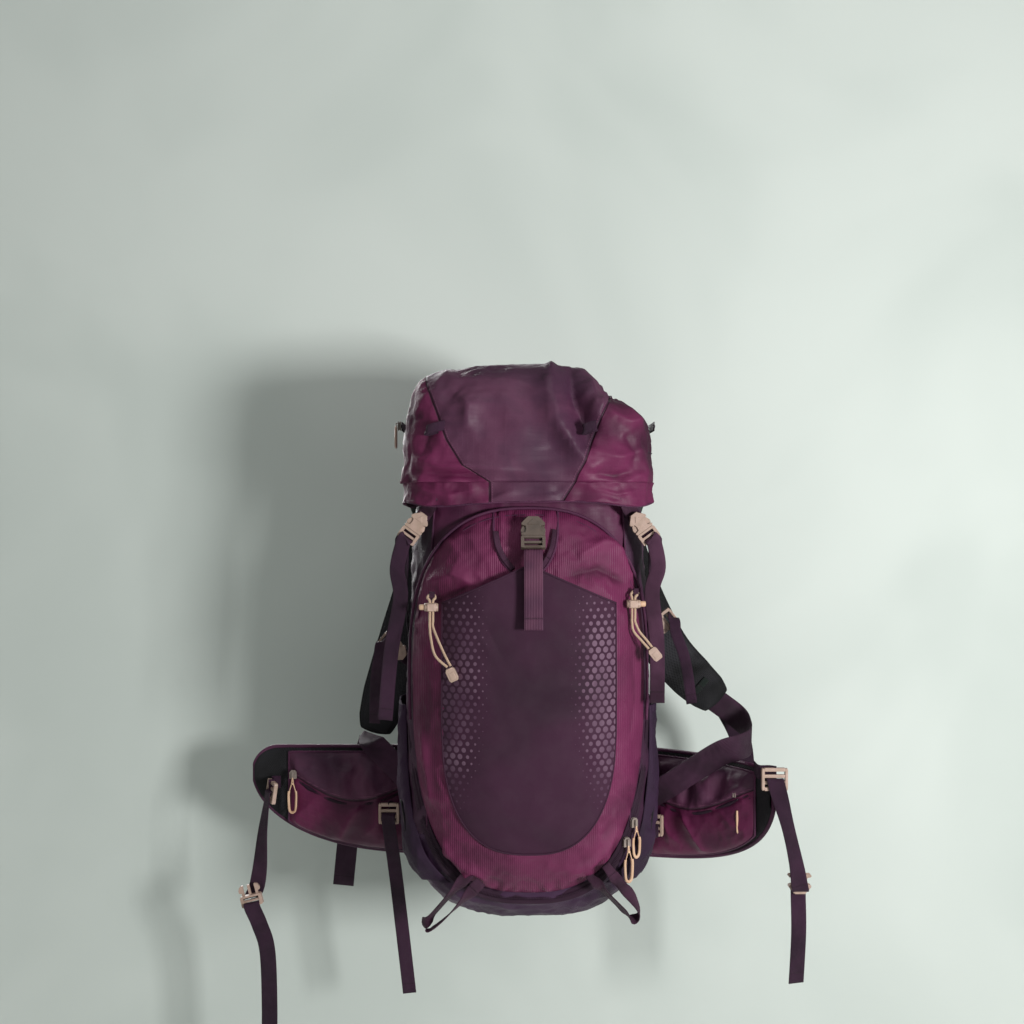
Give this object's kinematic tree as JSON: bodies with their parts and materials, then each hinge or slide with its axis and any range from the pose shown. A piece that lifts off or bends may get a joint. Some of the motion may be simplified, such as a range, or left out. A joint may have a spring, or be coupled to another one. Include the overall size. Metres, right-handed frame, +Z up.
{
  "type": "trekking backpack",
  "caption": "Top-lid trekking backpack with front stretch pocket, side pockets, shoulder straps, hip belt wings, side-release buckles and webbing, hung by its haul loop.",
  "frame": {"origin": "the point of the haul loop that a hook carries, on the pack's centre line", "axes": "+X to the right seen from the pack's front, +Y towards the wearer's back, +Z up"},
  "size_m": [0.78, 0.3104, 0.9791],
  "materials": {
    "plum_nylon": "satin ripstop nylon",
    "dusky_nylon": "glossy light nylon",
    "dark_nylon": "satin coated nylon",
    "stretch_knit": "matte stretch knit",
    "black_mesh": "spacer mesh over foam",
    "webbing": "ribbed webbing",
    "tan_acetal": "moulded",
    "grey_acetal": "moulded",
    "elastic_cord": "braided elastic",
    "black_plastic": "sheet",
    "stay_metal": "drawn"
  },
  "bodies": {
    "pack": {"back_panel": "black_mesh", "frame_sheet": "black_plastic", "frame_stays": "stay_metal", "lumbar_pad": "black_mesh", "shoulder_yoke": "black_mesh", "haul_loop": "webbing", "bag_front": "plum_nylon", "bag_sides": "dusky_nylon", "bag_back": "black_mesh", "bag_boot": "dark_nylon", "base_patch": "dark_nylon", "collar": "dusky_nylon", "front_pocket": "plum_nylon", "panel_zip": "dark_nylon", "stretch_panel": "stretch_knit", "side_pockets": "stretch_knit", "gear_loops": "webbing", "front_receiver": "grey_acetal", "side_receivers": "tan_acetal", "side_webbing": "webbing", "cord_tabs": "webbing", "stabilisers": "tan_acetal", "load_lifters": "webbing", "strap_runs": "webbing", "shoulder_webs": "webbing", "elastic_cords": "elastic_cord", "cord_ends": "tan_acetal"},
    "lid": {"lid_shell": "plum_nylon", "lid_skirt": "plum_nylon", "lid_lining": "dusky_nylon", "lid_zip": "dark_nylon", "lid_loops": "webbing", "lid_receivers": "tan_acetal"},
    "lid_slider": {"lid_slider": "tan_acetal"},
    "lid_buckle_left": {"lid_plug_left": "tan_acetal", "lid_tail_left": "webbing"},
    "lid_buckle_right": {"lid_plug_right": "tan_acetal", "lid_tail_right": "webbing"},
    "front_buckle": {"front_plug": "grey_acetal", "front_tail": "webbing"},
    "side_buckle_left": {"side_plug_left": "tan_acetal"},
    "side_buckle_right": {"side_plug_right": "tan_acetal"},
    "toggle_left": {"toggle_left": "tan_acetal"},
    "toggle_button_left": {"toggle_button_left": "tan_acetal"},
    "toggle_right": {"toggle_right": "tan_acetal"},
    "toggle_button_right": {"toggle_button_right": "tan_acetal"},
    "panel_slider_upper": {"panel_slider_upper": "tan_acetal"},
    "panel_slider_lower": {"panel_slider_lower": "tan_acetal"},
    "wing_left": {"wing_left": "black_mesh", "wing_pocket_left": "plum_nylon", "belt_strap_left": "webbing", "belt_hardware_left": "tan_acetal"},
    "wing_right": {"wing_right": "black_mesh", "wing_pocket_right": "plum_nylon", "belt_strap_right": "webbing", "belt_hardware_right": "tan_acetal"},
    "wing_slider_left": {"wing_slider_left": "tan_acetal"},
    "wing_slider_right": {"wing_slider_right": "tan_acetal"},
    "shoulder_left": {"shoulder_left": "black_mesh"},
    "shoulder_right": {"shoulder_right": "black_mesh"}
  },
  "joints": [
    {"name": "lid_hinge", "type": "hinge", "parent": "pack", "child": "lid", "pos_m": [0, -0.012, 0.006], "axis": [-1, 0, 0], "range_deg": [0, 90], "deforming": ["strap_runs"]},
    {"name": "lid_zip_slide", "type": "slide", "parent": "lid", "child": "lid_slider", "axis": [0, 1, 0], "range_m": [0, 0.05]},
    {"name": "lid_buckle_left_release", "type": "slide", "parent": "lid", "child": "lid_buckle_left", "axis": [-0.5878, 0, -0.809], "range_m": [0, 0.028]},
    {"name": "lid_buckle_right_release", "type": "slide", "parent": "lid", "child": "lid_buckle_right", "axis": [0.5878, 0, -0.809], "range_m": [0, 0.028]},
    {"name": "front_buckle_release", "type": "slide", "parent": "pack", "child": "front_buckle", "axis": [0, -0.4067, -0.9136], "range_m": [0, 0.028]},
    {"name": "side_buckle_left_release", "type": "slide", "parent": "pack", "child": "side_buckle_left", "axis": [-0.788, 0, 0.6157], "range_m": [0, 0.028]},
    {"name": "side_buckle_right_release", "type": "slide", "parent": "pack", "child": "side_buckle_right", "axis": [0.788, 0, 0.6157], "range_m": [0, 0.028]},
    {"name": "toggle_left_slide", "type": "slide", "parent": "pack", "child": "toggle_left", "axis": [0, 0, -1], "range_m": [0, 0.01]},
    {"name": "toggle_left_button", "type": "slide", "parent": "toggle_left", "child": "toggle_button_left", "axis": [1, 0, 0], "range_m": [0, 0.003], "stiffness_N_per_m": 800},
    {"name": "toggle_right_slide", "type": "slide", "parent": "pack", "child": "toggle_right", "axis": [0, 0, -1], "range_m": [0, 0.01]},
    {"name": "toggle_right_button", "type": "slide", "parent": "toggle_right", "child": "toggle_button_right", "axis": [-1, 0, 0], "range_m": [0, 0.003], "stiffness_N_per_m": 800},
    {"name": "panel_zip_upper", "type": "slide", "parent": "pack", "child": "panel_slider_upper", "axis": [0.3201, 0.2684, 0.9086], "range_m": [0, 0.04]},
    {"name": "panel_zip_lower", "type": "slide", "parent": "pack", "child": "panel_slider_lower", "axis": [-0.4269, -0.2469, -0.87], "range_m": [0, 0.03]},
    {"name": "wing_left_fold", "type": "hinge", "parent": "pack", "child": "wing_left", "pos_m": [-0.1151, 0.006, -0.44], "axis": [0, 0, -1], "range_deg": [0, 75], "stiffness_Nm_per_rad": 2, "deforming": ["shoulder_webs"]},
    {"name": "wing_right_fold", "type": "hinge", "parent": "pack", "child": "wing_right", "pos_m": [0.1151, 0.006, -0.44], "axis": [0, 0, 1], "range_deg": [0, 75], "stiffness_Nm_per_rad": 2, "deforming": ["shoulder_webs"]},
    {"name": "wing_zip_left", "type": "slide", "parent": "wing_left", "child": "wing_slider_left", "axis": [0.9757, -0.1961, -0.0981], "range_m": [0, 0.03]},
    {"name": "wing_zip_right", "type": "slide", "parent": "wing_right", "child": "wing_slider_right", "axis": [-0.799, 0.594, -0.094], "range_m": [0, 0.03]},
    {"name": "shoulder_left_swing", "type": "hinge", "parent": "pack", "child": "shoulder_left", "pos_m": [-0.126, 0.0129, -0.014], "axis": [1, 0, 0], "range_deg": [0, 30], "deforming": ["shoulder_webs"]},
    {"name": "shoulder_right_swing", "type": "hinge", "parent": "pack", "child": "shoulder_right", "pos_m": [0.126, 0.0129, -0.014], "axis": [1, 0, 0], "range_deg": [0, 30], "deforming": ["shoulder_webs"]}
  ]
}
